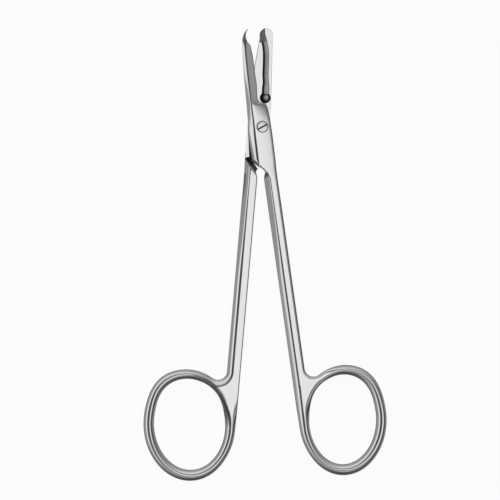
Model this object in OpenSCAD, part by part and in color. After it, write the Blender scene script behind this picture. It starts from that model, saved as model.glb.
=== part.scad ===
// Suture scissors: two forged steel halves that turn on one slotted screw.
// The scissors lie flat on a table, blades along +Y, with the screw's axis on the Z axis.
// Each half is drawn in one forging frame: x runs from the joint's centre line to the outer side,
// y towards the tip, z outwards from the plane where the two halves meet.
// The plain half is the same forging turned over about Y, with its own blade.

/* [Opening] */
// Turn of the hooked half from closed, in degrees
hook_turn = 6.8; // [5.5:0.1:12]
// Turn of the plain half from closed, in degrees
plain_turn = 3.7; // [3:0.1:12]

/* [Joint] */
// Width of the joint, across both faces
joint_w = 6.8; // [6.4:0.1:7.4]
// Thickness of each half at the joint
half_t = 1.9; // [1.6:0.05:2.4]
// Distance from the centre line of the joint to the screw
screw_shift = 0.95; // [0.5:0.05:1.1]
// Play between the two faces that slide on each other
lap_play = 0.04; // [0.02:0.01:0.08]
// Distance from the screw to the shoulder, square to the shoulder
shoulder_reach = 9.65; // [9.6:0.05:10.4]
// Slope of the shoulder's wall from upright, in degrees
shoulder_lean = 20; // [5:1:30]
// Angle of the shoulder across the joint, in degrees
shoulder_angle = 46.6; // [45:0.1:48]

/* [Blades] */
// Length of the hooked blade from the screw to its tip
blade_len = 28.35; // [28:0.05:30]
// Length of the plain blade from the screw to its blunt tip
plain_len = 28.2; // [28.15:0.05:29]
// Thickness of a blade's spine at the tip
tip_t = 0.75; // [0.6:0.05:1.1]
// Thickness left at the cutting edge of the hooked blade
edge_t = 0.35; // [0.25:0.05:0.5]
// Thickness of the plain blade along its edge, which holds the hollow
plain_edge_t = 0.8; // [0.75:0.05:1]
// Thickness of the plain blade's spine at the tip
plain_tip_t = 0.95; // [0.85:0.05:1.2]
// Width of the hooked blade across its middle, from the centre line to its edge
hook_edge_x = 0.6; // [0.3:0.05:1]
// Radius of the notch that makes the hook
notch_r = 3.2; // [2.8:0.05:3.6]
// Distance from the screw to the middle of the notch
notch_y = 26; // [25.5:0.05:26.5]
// Widening of the notch from its sharp side to the outer face, over the tip's thickness
notch_bevel = 0.3; // [0.1:0.05:0.4]
// Distance from the centre line to the edge of the plain blade, at its widest
plain_edge_x = 2.55; // [2.3:0.05:2.8]
// Depth of the hollow ground in the plain blade
hollow_depth = 0.45; // [0.3:0.05:0.55]
// Width of the hollow along the blade
hollow_w = 1.75; // [1.5:0.05:1.9]
// Radius of the round pocket where the hollow ends near the joint
pocket_r = 1.55; // [1.3:0.05:1.7]
// Distance from the screw to the middle of that pocket
pocket_y = 8.35; // [8:0.05:9.5]

/* [Shanks] */
// Width of a shank below the joint
shank_w = 3.9; // [3.6:0.05:4.2]
// Width of a shank where it meets its ring
shank_low_w = 3.88; // [3.6:0.05:4.4]
// Thickness of a shank
shank_t = 3.5; // [3:0.05:3.7]
// Share of the shank's width taken by the wide bevel
bevel_share = 0.41; // [0.3:0.01:0.5]
// Height of the lower edge of the lower shank's bevel over the middle of the shank
bevel_low_z = 0.3; // [0:0.05:0.4]
// Distance from the centre line to the outer side of a shank, just below the joint
shank_out_x = 3.7; // [3.6:0.05:3.9]
// The same distance where the shank meets its ring
shank_low_x = 4.6; // [4.4:0.05:5]

/* [Finger rings] */
// Thickness of a ring
ring_t = 3.8; // [3.4:0.05:3.8]
// Distance from the screw to the middle of the hooked half's ring, along the scissors
hook_ring_y = 85.2; // [82:0.1:90]
// Distance from the centre line to the middle of the hooked half's ring
hook_ring_x = 13.75; // [13.4:0.05:14.6]
// Width of the hole of the hooked half's ring
hook_hole_w = 19.1; // [18:0.1:20]
// Height of the hole of the hooked half's ring
hook_hole_h = 25.9; // [24:0.1:27]
// Distance from the screw to the middle of the plain half's ring, along the scissors
plain_ring_y = 85.65; // [82:0.05:90]
// Distance from the centre line to the middle of the plain half's ring
plain_ring_x = 14.35; // [14:0.05:15]
// Width of the hole of the plain half's ring
plain_hole_w = 20.3; // [19.4:0.1:21]
// Height of the hole of the plain half's ring
plain_hole_h = 26.3; // [25:0.1:27.5]
// Width of a ring's wire at its two sides
wire_w = 2.9; // [2.6:0.05:3.4]
// Width of a ring's wire at its top and bottom
wire_end_w = 2.7; // [2.5:0.05:3.2]
// Shift of a ring's outer side from its hole, away from the blades
rim_down = 0.5; // [0:0.05:0.6]
// Lean of a ring's hole from the line of the scissors, in degrees
hole_lean = 6.5; // [0:0.5:10]
// Lean of a ring's outer side, in degrees
rim_lean = 8; // [0:0.5:12]
// How far the top of a ring's hole is squared, at its middle and its corners
hole_square = 0.36; // [0:0.02:0.5]
// Distance from the middle of a ring's wire to its crest, which lies to the same side all round
crest_shift = 0.5; // [0:0.05:0.6]
// How far a ring's wire swells at its upper outer corner
rim_swell = 0.75; // [0:0.05:0.9]
// How far a ring's wire slims at its lower inner corner
rim_slim = 0.35; // [0:0.05:0.4]
// Radius of the fillet between a shank's outer side and its ring
fillet_r = 1.6; // [1.2:0.05:2.2]

/* [Screw] */
// Diameter of the screw's head
head_d = 3.24; // [3:0.02:3.5]
// Depth of the cone under the head
head_cone = 0.7; // [0.5:0.05:0.9]
// Height of the cylindrical rim of the head
head_rim = 0.3; // [0.2:0.05:0.4]
// Diameter of the screw's shaft
shaft_d = 1.8; // [1.7:0.05:2.2]
// Radial play between the shaft and the hooked half
shaft_play = 0.03; // [0.02:0.01:0.06]
// Width of the slot in the head
slot_w = 0.45; // [0.3:0.05:0.6]
// Depth of the slot
slot_depth = 0.45; // [0.3:0.05:0.6]
// Direction of the slot in the photograph's frame, in degrees from +X
slot_angle = 29; // [0:1:90]

/* [Hidden] */

round_fn = 72;
steel = [0.80, 0.80, 0.80];
screw_steel = [0.70, 0.70, 0.71];
// Margin by which a cutting solid runs past what it cuts
past = 5;

mid_z = half_t;
joint_x = joint_w / 2;
shank_h = shank_t / 2;
ring_h = min(ring_t / 2, mid_z);

// Places along the scissors, from the screw
blade_root_y = 9.1;
step_y = 6.2;
blade_y = 3.5;
lap_low_y = -8.8;
neck_y = -12.8;
shank_top_y = -17;
shank_y = -24;
crease_y = -27;
low_bevel_y = -44;
flare_y = -66;

function mix(a, b, t) = a + (b - a) * t;
function turned(p, angle) = [p.x * cos(angle) - p.y * sin(angle), p.x * sin(angle) + p.y * cos(angle)];
function norm_of(v) = v / norm(v);

// Sides of a shank, as straight lines between the joint and the ring
function outer_side(y) = mix(shank_out_x, shank_low_x, (shank_y - y) / (shank_y - flare_y));
function inner_side(y) = outer_side(y) - mix(shank_w, shank_low_w, (shank_y - y) / (shank_y - flare_y));

// Spine side of the blades and the joint, with the step where the joint narrows to the shank
function lap_side(y) = lookup(y, [
    [neck_y - 2.1, inner_side(neck_y - 2.1)],
    [neck_y - 0.95, inner_side(neck_y) + 0.25],
    [neck_y, inner_side(neck_y) + 0.55],
    [neck_y + 0.8, -0.34],
    [neck_y + 1.4, -0.99],
    [neck_y + 2.05, -1.85],
    [lap_low_y - 0.9, -2.8],
    [lap_low_y, 0.06 - joint_x],
    [-3, 0.1 - joint_x],
    [0.2, 0.3 - joint_x],
    [blade_y, 0.45 - joint_x]
]);

function hook_spine(y) = lookup(y, [
    [blade_y, 0.45 - joint_x],
    [10, -2.75],
    [15.3, -2.6],
    [19.5, -2.35],
    [22.4, -2.12],
    [25.3, -1.85],
    [26.3, -1.55],
    [27.4, -1.0],
    [28.0, -0.35],
    [blade_len, 0.15]
]);

function plain_spine(y) = lookup(y, [
    [blade_y, 0.45 - joint_x],
    [10.7, -2.75],
    [19.2, -2.42],
    [22, -2.32],
    [26.5, -2.1],
    [27.3, -1.9],
    [27.8, -1.5],
    [28.1, -0.9],
    [plain_len, -0.6]
]);

// Cutting side of each blade, with the step at its root
function joint_side(y) = lookup(y, [
    [shank_y, outer_side(shank_y)],
    [neck_y, outer_side(neck_y) - 0.02],
    [lap_low_y, joint_x + 0.1],
    [-2.6, joint_x + 0.05],
    [0.6, joint_x - 0.04],
    [2.9, joint_x - 0.15],
    [4.4, joint_x - 0.3],
    [step_y - 0.6, joint_x - 0.46],
    [step_y, joint_x - 0.7]
]);

function hook_side(y) = lookup(y, [
    [step_y, joint_x - 0.7],
    [step_y + 0.45, 2.1],
    [step_y + 0.7, 1.4],
    [step_y + 1.1, 0.85],
    [step_y + 2, 0.5],
    [blade_root_y, 0.5],
    [12.5, hook_edge_x + 0.12],
    [16, hook_edge_x],
    [20, hook_edge_x],
    [23.7, 0.3],
    [blade_len, 0.5]
]);

function plain_side(y) = lookup(y, [
    [step_y, joint_x - 0.7],
    [blade_root_y, plain_edge_x],
    [17.2, plain_edge_x - 0.07],
    [19.5, 2.2],
    [21.8, 1.95],
    [23.8, 1.68],
    [24.6, 1.58],
    [25.2, 1.56],
    [26.1, 1.6],
    [26.8, 1.53],
    [27.3, 1.33],
    [27.8, 0.9],
    [28.1, 0.5],
    [plain_len, 0.35]
]);

// The two sides of a half, all the way from the tip to the ring
function spine_side(y, hooked) =
    y > blade_y ? (hooked ? hook_spine(y) : plain_spine(y))
    : y > shank_y ? lap_side(y)
    : inner_side(y);
function cutting_side(y, hooked) =
    y > step_y ? (hooked ? hook_side(y) : plain_side(y))
    : y > shank_y ? joint_side(y)
    : outer_side(y);

// Crease between the outer face and the bevel on the spine side
function crease(y, spine) = lookup(y, [
    [crease_y, mix(inner_side(crease_y), outer_side(crease_y), bevel_share)],
    [shank_top_y, mix(inner_side(shank_top_y), outer_side(shank_top_y), bevel_share)],
    [shank_top_y + 2, 1.24],
    [neck_y - 0.75, 0.9],
    [neck_y, 0.52],
    [neck_y + 1.1, -0.31],
    [neck_y + 2.2, -1.5],
    [4, -1.5],
    [10, -1.5],
    [20, spine + 0.95],
    [23.7, spine + 0.9],
    [blade_len, spine + 0.15]
]);

// Crease on the side that faces the other half, which begins at the shoulder
function inner_crease(y) = lookup(y, [
    [crease_y, inner_side(y) + outer_side(y) - crease(y, 0)],
    [shank_top_y, 1.97],
    [neck_y, 1.86],
    [0, 1.83]
]);

// Heights of the section, from the plane where the halves meet
function spine_height(y) = lookup(y, [
    [flare_y, bevel_low_z],
    [low_bevel_y, bevel_low_z],
    [shank_y, -0.25],
    [neck_y - 1, -0.55],
    [lap_low_y, 0.6],
    [blade_root_y, 0.6],
    [blade_len, 0.3]
]);
function face_height(y, hooked) = lookup(y, [
    [-22, shank_h],
    [lap_low_y, half_t],
    [step_y, half_t],
    [blade_root_y, half_t - 0.1],
    [blade_len, hooked ? tip_t : plain_tip_t]
]);
function hook_side_height(y) = lookup(y, [
    [-22, shank_h],
    [lap_low_y, half_t],
    [0.4, half_t],
    [step_y - 1.8, half_t - 0.15],
    [step_y, half_t - 0.25],
    [step_y + 1.1, half_t - 0.4],
    [blade_root_y, edge_t + 1],
    [12.5, edge_t + 0.65],
    [16, edge_t + 0.4],
    [22, edge_t + 0.12],
    [blade_len, edge_t]
]);
function plain_side_height(y) = lookup(y, [
    [-22, shank_h],
    [lap_low_y, half_t],
    [step_y - 1.8, half_t],
    [step_y, half_t - 0.1],
    [blade_root_y, plain_edge_t + 0.3],
    [15, plain_edge_t + 0.1],
    [blade_len, plain_edge_t]
]);
// Size of the rounding along the outer edge of the face
function edge_round(y) = lookup(y, [
    [-22, 0.55],
    [lap_low_y, 0.3],
    [step_y - 1.8, 0.25],
    [blade_root_y, 0.08],
    [blade_len, 0.05]
]);

// One section's face, from the spine side to the cutting side, as [share of the width, height]
LAST = 8;
function face(w, crease_w, low, high, side, r) = [
    [0, low],
    [crease_w * 0.33 / w, mix(low, high, 0.33)],
    [crease_w * 0.72 / w, mix(low, high, 0.73)],
    [crease_w / w, high],
    [mix(crease_w, w - r, 0.33) / w, mix(high, side, 0.33)],
    [mix(crease_w, w - r, 0.67) / w, mix(high, side, 0.67)],
    [1 - r / w, side],
    [1 - r * 0.3 / w, side - r * 0.35],
    [1, side - r]
];

// Outer face of a station between the points a, on the spine side, and b
function outer_chain(a, b, y, crease_w, hooked) =
    let (
        side = hooked ? hook_side_height(y) : plain_side_height(y),
        f = face(norm(b - a), crease_w, spine_height(y), face_height(y, hooked), side, edge_round(y))
    )
    [for (p = f) [mix(a.x, b.x, p[0]), mix(a.y, b.y, p[0]), p[1]]];

// Face towards the other half: on the shank the same section turned half a turn about its middle,
// and on the blade straight walls, which the meeting plane cuts off
function inner_chain(a, b, y, crease_w) =
    let (
        low = y < shank_y ? spine_height(y) : min(spine_height(y), spine_height(shank_y)),
        f = face(norm(b - a), crease_w, low, shank_h, shank_h, edge_round(min(y, shank_y)))
    )
    [for (i = [0:LAST]) let (p = f[LAST - i]) [mix(b.x, a.x, p[0]), mix(b.y, a.y, p[0]), -p[1]]];
function cut_off_chain(chain) = [for (p = chain) [p.x, p.y, -shank_h]];

// Least distance between the tip and the next station
TIP_GAP = 0.1;
// Places of the stations below the tip
BODY_YS = [
    28.0, 27.6, 27.3, 26.8, 26.3, 25.3, 24.6, 23.8, 22.2, 20, 17.2, 15, 12.5, 10.5, blade_root_y,
    step_y + 2, step_y + 1.1, step_y + 0.7, step_y + 0.45, step_y, step_y - 0.6, step_y - 1.8,
    2.9, 0.4, -2.8, lap_low_y, lap_low_y - 0.9, neck_y + 2.05, neck_y + 1.4, neck_y + 0.8, neck_y,
    neck_y - 0.95, neck_y - 2.1, shank_top_y, -20, shank_y, -32, -45, -58, flare_y
];

// A finger ring is [middle of its hole, half width and half height of the hole]
HOOK_RING = [[hook_ring_x, -hook_ring_y], hook_hole_w / 2, hook_hole_h / 2];
PLAIN_RING = [[plain_ring_x, -plain_ring_y], plain_hole_w / 2, plain_hole_h / 2];
function rim_middle(ring) = ring[0] - [0, rim_down];
function rim_half_w(ring) = ring[1] + wire_w;
function rim_half_h(ring) = ring[2] + wire_end_w;

// Point and outward direction on the ring's outer side, which is an ellipse
function rim_at(ring, t) =
    rim_middle(ring) + turned([rim_half_w(ring) * cos(t), rim_half_h(ring) * sin(t)], -rim_lean);
function rim_normal(ring, t) =
    norm_of(turned([rim_half_h(ring) * cos(t), rim_half_w(ring) * sin(t)], -rim_lean));

// Directions from the ring's middle where its wire swells and slims
SWELL_AT = 52;
SLIM_AT = -140;

// Distance from the hole's middle to an ellipse with its own middle, sizes and lean
function ellipse_reach(offset, half_w, half_h, lean, angle) =
    let (
        d = turned([cos(angle), sin(angle)], lean),
        o = turned(-offset, lean),
        a = pow(d.x / half_w, 2) + pow(d.y / half_h, 2),
        b = o.x * d.x / pow(half_w, 2) + o.y * d.y / pow(half_h, 2),
        c = pow(o.x / half_w, 2) + pow(o.y / half_h, 2) - 1
    )
    (sqrt(b * b - a * c) - b) / a;
function hole_reach(ring, angle) =
    ellipse_reach([0, 0], ring[1], ring[2], hole_lean, angle)
    - hole_square * max(0, sin(angle)) * cos(4 * (angle - 90));
function rim_reach(ring, angle) =
    ellipse_reach([0, -rim_down], rim_half_w(ring), rim_half_h(ring), rim_lean, angle)
    + rim_swell * pow(max(0, cos(angle - SWELL_AT)), 10)
    - rim_slim * pow(max(0, cos(angle - SLIM_AT)), 4);

// Directions on the ring between which the fillet is looked for
FILLET_FROM = 95;
FILLET_TO = 170;
// Where the fillet touches the ring: its middle lies one radius from the ring and from the shank
function fillet_middle(ring, t) = rim_at(ring, t) + fillet_r * rim_normal(ring, t);
function fillet_miss(ring, t) =
    let (c = fillet_middle(ring, t)) c.x - fillet_r - outer_side(c.y);
function fillet_angle(ring, low = FILLET_FROM, high = FILLET_TO, turns = 18) =
    let (t = (low + high) / 2)
    turns == 0 ? t
    : fillet_miss(ring, t) > 0 ? fillet_angle(ring, t, high, turns - 1)
    : fillet_angle(ring, low, t, turns - 1);

// Sides of the web that joins the shank to the ring, with t from 0 at the shank to 1 where the fillet
// touches the ring; its inner side ends this many fillet radii below the fillet's middle
WEB_STEPS = 8;
STRAIGHT_SHARE = 0.3;
WEB_DROP = 1.5;
function web_left(c, t) = let (y = mix(flare_y, c.y - WEB_DROP * fillet_r, t)) [inner_side(y), y];
function web_right(c, touch, t) =
    t < STRAIGHT_SHARE
        ? let (y = mix(flare_y, c.y, t / STRAIGHT_SHARE)) [outer_side(y), y]
        : let (
            end = atan2(touch.y - c.y, touch.x - c.x) + 360,
            a = mix(180, end, (t - STRAIGHT_SHARE) / (1 - STRAIGHT_SHARE))
        )
        [c.x + fillet_r * cos(a), c.y + fillet_r * sin(a)];

// Directions from the ring's middle between which the shank's inner side eases into the ring
EASE_START = -200;
EASE_END = -145;
// Direction of the ring's lowest point, on whose two sides the height eases into the shank's two edges
RING_LOW = -90;

// Section of the ring, from its outer side to the hole
RING_STEPS = 44;
OUTER_INSET = [0, 0.35, 0.8, 1.35];
HOLE_INSET = [1.3, 0.75, 0.35, 0.1, 0];
ACROSS = len(OUTER_INSET) + len(HOLE_INSET) - 1;
RING_OUTER_Z = [0.26, 0.62, 0.86, 1];
RING_HOLE_Z = [1, 0.84, 0.62, 0.4, 0.2];
WEB_HOLE_Z = [1, 1, 0.95, 0.82, 0.7];

// How much of the web a direction from the ring's middle holds: 1 at the web, 0 away from it
function web_share(angle, left, right) =
    angle > left ? max(0, 1 - (angle - left) / 35)
    : angle < right ? max(0, 1 - (right - angle) / 25)
    : 1;
function smooth(t) = t * t * (3 - 2 * t);

function angle_of(ring, p) = atan2(p.y - ring[0].y, p.x - ring[0].x);
function ring_point(ring, angle, reach) = ring[0] + reach * [cos(angle), sin(angle)];

// One row of the ring's upper side: out is the outer point, z its height, and the crest lies shift
// from the middle of the wire, towards the right
function ring_row(ring, out, z, angle, share, shift) =
    let (
        hole = ring_point(ring, angle, hole_reach(ring, angle)),
        width = norm(out - hole),
        s = smooth(share),
        top = mix(ring_h, shank_h, s),
        outer_part = mix(width / 2 - shift * cos(angle), OUTER_INSET[3], s),
        hole_part = mix(width / 2 + shift * cos(angle), HOLE_INSET[0], s),
        fit = min(1, width / (outer_part + hole_part + 0.1)),
        outer = [for (i = [0:len(OUTER_INSET) - 1])
            [OUTER_INSET[i] / OUTER_INSET[3] * outer_part * fit / width,
            mix(z, top, (RING_OUTER_Z[i] - RING_OUTER_Z[0]) / (1 - RING_OUTER_Z[0]))]],
        inner = [for (i = [0:len(HOLE_INSET) - 1])
            [1 - HOLE_INSET[i] / HOLE_INSET[0] * hole_part * fit / width,
            top * mix(RING_HOLE_Z[i], WEB_HOLE_Z[i], s)]]
    )
    [for (p = concat(outer, inner)) [mix(out.x, hole.x, p[0]), mix(out.y, hole.y, p[0]), p[1]]];

// Two triangles for the patch a, b, c, d
function patch(a, b, c, d) = [[a, b, c], [a, c, d]];

// One half as a single closed skin: stations along the blade, joint and shank, whose last station
// is shared with the outer side of the ring
module forging(ring, hooked) {
    touch_t = fillet_angle(ring);
    touch = rim_at(ring, touch_t);
    c = fillet_middle(ring, touch_t);

    tip = hooked ? blade_len : plain_len;
    straight = [for (y = concat([tip], [for (y = BODY_YS) if (y < tip - TIP_GAP) y])) let (
        spine = spine_side(y, hooked),
        side = cutting_side(y, hooked),
        fold = y > crease_y ? crease(y, spine) : mix(spine, side, bevel_share),
        fold_in = y > crease_y ? spine + side - inner_crease(y) : fold
    ) [[spine, y], [side, y], y, fold - spine, fold_in - spine]];
    web_bevel = (outer_side(flare_y) - inner_side(flare_y)) * bevel_share;
    web = [for (i = [1:WEB_STEPS])
        [web_left(c, i / WEB_STEPS), web_right(c, touch, i / WEB_STEPS), flare_y, web_bevel, web_bevel]];
    stations = concat(straight, web);
    count = len(stations);

    outer = [for (s = stations) outer_chain(s[0], s[1], s[2], s[3], hooked)];
    inner = [for (i = [0:count - 1]) let (s = stations[i])
        s[2] > blade_y ? cut_off_chain(outer[i]) : inner_chain(s[0], s[1], s[2], s[4])];

    // Outer points of the ring: first those shared with the shank, then clockwise round the ring
    shared = [for (p = outer[count - 1]) [p.x, p.y]];
    left_angle = angle_of(ring, shared[0]);
    right_angle = angle_of(ring, shared[LAST]);
    around = [for (i = [1:RING_STEPS - 1]) mix(right_angle, left_angle - 360, i / RING_STEPS)];
    angles = concat([for (p = shared) angle_of(ring, p)], around);
    slope = inner_side(1) - inner_side(0);
    straight_reach = inner_side(ring[0].y) - ring[0].x;
    // The shank's inner side runs on down past the web and eases into the ring's outer side
    ring_out = concat(shared, [for (a = around) let (
        rim = rim_reach(ring, a),
        line = a < EASE_END ? straight_reach / (cos(a) - slope * sin(a)) : rim,
        eased = smooth(min(1, max(0, (a - EASE_START) / (EASE_END - EASE_START))))
    ) ring_point(ring, a, mix(line, rim, eased))]);
    rows = len(ring_out);
    shares = [for (i = [0:rows - 1])
        i <= LAST ? 1 : web_share(angles[i] < -180 ? angles[i] + 360 : angles[i], left_angle, right_angle)];

    // Heights of the outer points, which change from the shank's to the ring's
    rim_z = ring_h * RING_OUTER_Z[0];
    up = outer[count - 1];
    down = inner[count - 1];
    up_z = [for (i = [0:rows - 1]) i <= LAST ? up[i].z : angles[i] < RING_LOW
        ? mix(rim_z, up[0].z, smooth(shares[i])) : mix(rim_z, up[LAST].z, smooth(shares[i]))];
    down_z = [for (i = [0:rows - 1]) i <= LAST ? -down[i].z : angles[i] < RING_LOW
        ? mix(rim_z, -down[0].z, smooth(shares[i])) : mix(rim_z, -down[LAST].z, smooth(shares[i]))];

    ring_up = [for (i = [0:rows - 1])
        ring_row(ring, ring_out[i], up_z[i], angles[i], shares[i], crest_shift)];
    ring_down = [for (i = [0:rows - 1])
        let (row = ring_row(ring, ring_out[i], down_z[i], angles[i], shares[i], -crest_shift))
        [for (p = row) [p.x, p.y, -p.z]]];

    body_size = (count - 1) * (LAST + 1);
    ring_size = rows * (ACROSS + 1);
    points = concat(
        [for (s = [0:count - 2], i = [0:LAST]) outer[s][i]],
        [for (s = [0:count - 2], i = [0:LAST]) inner[s][i]],
        [for (r = [0:rows - 1], i = [0:ACROSS]) ring_up[r][i]],
        [for (r = [0:rows - 1], i = [0:ACROSS]) ring_down[r][i]]
    );

    // Numbers of the points on the upper and lower skins
    function ring_top(r, i) = 2 * body_size + (r % rows) * (ACROSS + 1) + i;
    function ring_low(r, i) = 2 * body_size + ring_size + (r % rows) * (ACROSS + 1) + i;
    function body_top(s, i) = s < count - 1 ? s * (LAST + 1) + i : ring_top(i, 0);
    function body_low(s, i) = s < count - 1 ? body_size + s * (LAST + 1) + i : ring_low(i, 0);

    faces = concat(
        [for (s = [0:count - 2], i = [0:LAST - 1])
            each patch(body_top(s, i), body_top(s, i + 1), body_top(s + 1, i + 1), body_top(s + 1, i))],
        [for (s = [0:count - 2], i = [0:LAST - 1])
            each patch(body_low(s, i), body_low(s + 1, i), body_low(s + 1, i + 1), body_low(s, i + 1))],
        [for (s = [0:count - 2])
            each patch(body_top(s, 0), body_top(s + 1, 0), body_low(s + 1, 0), body_low(s, 0))],
        [for (s = [0:count - 2])
            each patch(body_top(s, LAST), body_low(s, LAST), body_low(s + 1, LAST), body_top(s + 1, LAST))],
        [for (i = [0:LAST - 1])
            each patch(body_top(0, i), body_low(0, i), body_low(0, i + 1), body_top(0, i + 1))],
        [for (r = [0:rows - 1], i = [0:ACROSS - 1])
            each patch(ring_top(r, i), ring_top(r + 1, i), ring_top(r + 1, i + 1), ring_top(r, i + 1))],
        [for (r = [0:rows - 1], i = [0:ACROSS - 1])
            each patch(ring_low(r, i), ring_low(r, i + 1), ring_low(r + 1, i + 1), ring_low(r + 1, i))],
        [for (r = [0:rows - 1])
            each patch(
                ring_top(r, ACROSS), ring_top(r + 1, ACROSS),
                ring_low(r + 1, ACROSS), ring_low(r, ACROSS)
            )],
        [for (r = [LAST:rows - 1])
            each patch(ring_top(r, 0), ring_low(r, 0), ring_low(r + 1, 0), ring_top(r + 1, 0))]
    );
    polyhedron(points = points, faces = faces, convexity = 6);
}

// Room for the other half: everything below the meeting plane, up to the leaning shoulder
module lap_room() {
    big = 80;
    intersection() {
        translate([-big / 2, -big / 2, -big])
            cube([big, big, big + lap_play / 2]);
        translate([-screw_shift, 0, 0])
            rotate([0, 0, shoulder_angle])
                translate([-big / 2, -shoulder_reach, lap_play / 2])
                    rotate([-shoulder_lean, 0, 0])
                        translate([0, 0, -big / 2])
                            cube([big, big, big]);
    }
}

// Hook: a round notch ground in the edge, wider on the outer face
module hook_notch() {
    bevel = notch_bevel / tip_t;
    translate([notch_r - 0.7, notch_y, -past])
        cylinder(h = past + past, r1 = notch_r - bevel * past, r2 = notch_r + bevel * past, $fn = round_fn);
}

// Outline of the hollow in the plain blade, which opens at the edge behind the tip
module hollow_outline() {
    middle = [
        [-1.15, pocket_y], [-1.1, 12], [-0.8, 15], [-0.68, 18.5], [-0.55, 21], [-0.32, 22.5],
        [0, 23.8], [0.35, 25], [0.7, 26], [0.95, 27], [1.1, 29]
    ];
    span = hollow_w / 2;
    translate(middle[0])
        circle(r = pocket_r, $fn = round_fn);
    polygon(concat(
        [for (p = middle) [p.x - span * (p.y < 12 ? 1.2 : 1), p.y]],
        [[past, 29], [past, 24.6], [1.9, 24.4], [1.2, 24.05]],
        [for (i = [6:-1:0]) [middle[i].x + span * (i == 0 ? 1.2 : 1), middle[i].y]]
    ));
}

module hook_blank() {
    difference() {
        forging(HOOK_RING, true);
        lap_room();
        hook_notch();
    }
}

module plain_blank() {
    difference() {
        forging(PLAIN_RING, false);
        lap_room();
        translate([0, 0, -past])
            linear_extrude(past + lap_play / 2 + hollow_depth)
                hollow_outline();
    }
}

// Bore for the screw's shaft, with the seat of its head
module screw_bore(play) {
    head_r = head_d / 2 + play;
    shaft_r = shaft_d / 2 + play;
    translate([0, 0, -past])
        cylinder(h = 2 * past + mid_z, r = shaft_r, $fn = round_fn);
    translate([0, 0, 2 * mid_z - head_rim - head_cone])
        cylinder(h = head_cone, r1 = shaft_r, r2 = head_r, $fn = round_fn);
    translate([0, 0, 2 * mid_z - head_rim])
        cylinder(h = past, r = head_r, $fn = round_fn);
}

module hook_half() {
    color(steel)
        difference() {
            rotate([0, 0, hook_turn])
                translate([-screw_shift, 0, mid_z])
                    hook_blank();
            screw_bore(shaft_play);
        }
}

module plain_half() {
    color(steel)
        difference() {
            rotate([0, 0, -plain_turn])
                translate([-screw_shift, 0, mid_z])
                    rotate([0, 180, 0])
                        plain_blank();
            translate([0, 0, -past])
                cylinder(h = 2 * past + mid_z, r = shaft_d / 2, $fn = round_fn);
        }
}

// The screw holds in the plain half and its head lies flush in the hooked half
module joint_screw() {
    color(screw_steel)
        difference() {
            union() {
                cylinder(h = 2 * mid_z - head_rim, r = shaft_d / 2, $fn = round_fn);
                translate([0, 0, 2 * mid_z - head_rim - head_cone])
                    cylinder(h = head_cone, r1 = shaft_d / 2, r2 = head_d / 2, $fn = round_fn);
                translate([0, 0, 2 * mid_z - head_rim])
                    cylinder(h = head_rim, r = head_d / 2, $fn = round_fn);
            }
            rotate([0, 0, slot_angle])
                translate([-head_d, -slot_w / 2, 2 * mid_z - slot_depth])
                    cube([2 * head_d, slot_w, past]);
        }
}

hook_half();
plain_half();
joint_screw();
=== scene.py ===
"""Looks for the suture scissors: two forged and ground halves and the slotted joint screw.

Each half is one closed skin worked out with numpy, in the forging's own frame in millimetres: x from the
joint's centre line to the outer side, y towards the tip, z outwards from the plane where the halves meet.
"""

import math

import bmesh
import bpy
import numpy as np
from mathutils import Matrix


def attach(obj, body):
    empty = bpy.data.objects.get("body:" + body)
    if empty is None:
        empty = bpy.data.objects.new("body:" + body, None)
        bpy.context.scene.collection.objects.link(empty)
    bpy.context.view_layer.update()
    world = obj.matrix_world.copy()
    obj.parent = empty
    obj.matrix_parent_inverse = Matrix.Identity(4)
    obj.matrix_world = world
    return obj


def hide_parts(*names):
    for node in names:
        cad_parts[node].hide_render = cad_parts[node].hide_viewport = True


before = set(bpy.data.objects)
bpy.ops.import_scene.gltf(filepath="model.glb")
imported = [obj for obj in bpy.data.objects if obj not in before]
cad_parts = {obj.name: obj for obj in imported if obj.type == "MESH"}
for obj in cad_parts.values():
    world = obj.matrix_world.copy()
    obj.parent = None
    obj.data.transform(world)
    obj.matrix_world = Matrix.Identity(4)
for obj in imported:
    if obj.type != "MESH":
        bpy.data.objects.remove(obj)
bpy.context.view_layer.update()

MM = 0.001

# Sizes in millimetres and degrees, as the solids have them, save for the relief and the fillet
HOOK_TURN, PLAIN_TURN = 6.8, 3.7
MID_Z, HALF_T = 1.9, 1.9
SCREW_SHIFT, LAP_PLAY, RELIEF_DEPTH = 0.95, 0.04, 0.2
LAP_TOP = LAP_PLAY / 2
SHOULDER_REACH, SHOULDER_LEAN, SHOULDER_ANGLE = 9.65, 20.0, 46.6
HOOK_TIP, PLAIN_TIP = 28.35, 28.2
NOTCH_X, NOTCH_Y, NOTCH_R, NOTCH_SLOPE = 2.5, 26.0, 3.2, 0.4
HOLLOW_DEPTH, POCKET_X, POCKET_Y, POCKET_R = 0.45, -1.15, 8.35, 1.55
SHANK_H, RING_H = 1.75, 1.9
BEVEL_SHARE, FILLET_R, WEB_DROP = 0.41, 2.6, 1.5
CREASE_Y, SHANK_Y, FLARE_Y = -27.0, -24.0, -66.0
HEAD_R, HEAD_CONE, HEAD_RIM, SHAFT_R, SHAFT_PLAY = 1.62, 0.7, 0.3, 0.9, 0.03
SLOT_W, SLOT_DEPTH, SLOT_ANGLE = 0.45, 0.45, 29.0
HOLE_LEAN, RIM_LEAN, RIM_DOWN, WIRE_W, WIRE_END_W = 6.5, 8.0, 0.5, 2.9, 2.7
HOLE_SQUARE, RIM_SWELL, RIM_SLIM = 0.36, 0.75, 0.35
SWELL_AT, SLIM_AT, EASE_START, EASE_END = 52.0, -140.0, -200.0, -145.0
CREST_SHIFT, BEVEL_LOW_Z = 0.5, 0.3
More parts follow.
